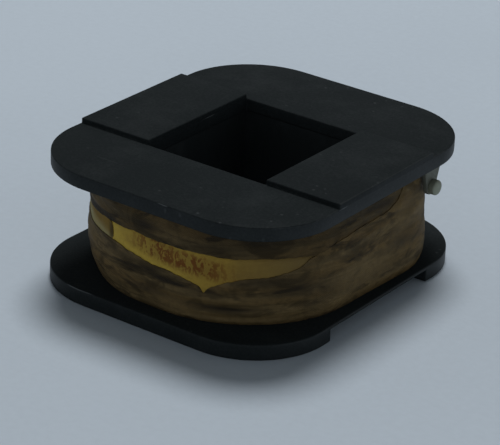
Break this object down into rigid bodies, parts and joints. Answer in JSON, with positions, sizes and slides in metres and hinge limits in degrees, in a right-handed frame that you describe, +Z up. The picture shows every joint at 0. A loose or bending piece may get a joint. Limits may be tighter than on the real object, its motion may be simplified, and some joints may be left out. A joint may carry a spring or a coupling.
{
  "type": "ignition coil",
  "caption": "Wound coil on a black moulded bobbin with a rectangular core window, wrapped in varnished tape, with short terminal pins under the top flange.",
  "frame": {"origin": "on the axis of the core window, in the plane of the underside's two outer strips, which it rests on", "axes": "+Z up along the window's axis, towards the flange with the raised band; +Y along the flanges' longer side, towards the visible terminal's end; +X towards the visible terminal's pin"},
  "size_m": [0.056, 0.065, 0.0255],
  "materials": {
    "bobbin": "satin black phenolic moulding with fine scratches and dust",
    "layer_paper": "varnish-soaked kraft paper",
    "primary_wire": "enamelled copper wire",
    "secondary_wire": "fine enamelled copper wire",
    "label_band": "yellow varnished cloth with faint ink smudges",
    "varnished_tape": "brown varnish-soaked cotton tape, streaked and creased",
    "washer_board": "dark red fish-paper board",
    "terminal_post": "dull tinned metal, yellowed by varnish",
    "tinned_pin": "tinned, dull",
    "sleeving": "varnished cotton sleeving",
    "solder": "tin-lead solder"
  },
  "bodies": {
    "root": {"top_flange": "bobbin", "bottom_flange": "bobbin", "core_tube": "bobbin", "core_paper": "layer_paper", "primary_layer_1": "primary_wire", "primary_layer_2": "primary_wire", "primary_layer_3": "primary_wire", "primary_paper_1": "layer_paper", "primary_paper_2": "layer_paper", "barrier_paper": "layer_paper", "secondary_winding_1": "secondary_wire", "secondary_winding_2": "secondary_wire", "secondary_winding_3": "secondary_wire", "secondary_winding_4": "secondary_wire", "secondary_winding_5": "secondary_wire", "secondary_paper_1": "layer_paper", "secondary_paper_2": "layer_paper", "secondary_paper_3": "layer_paper", "secondary_paper_4": "layer_paper", "outer_paper": "layer_paper", "label_band": "label_band", "lower_tape": "varnished_tape", "upper_tape": "varnished_tape", "lower_washer": "washer_board", "upper_washer": "washer_board", "breaker_post": "terminal_post", "breaker_pin": "tinned_pin", "breaker_lead": "primary_wire", "breaker_sleeve": "sleeving", "breaker_solder": "solder", "ground_post": "terminal_post", "ground_pin": "tinned_pin", "ground_lead": "primary_wire", "ground_sleeve": "sleeving", "ground_solder": "solder", "tension_post": "terminal_post", "tension_pin": "tinned_pin", "tension_lead": "secondary_wire", "tension_sleeve": "sleeving", "tension_solder": "solder"}
  },
  "joints": []
}
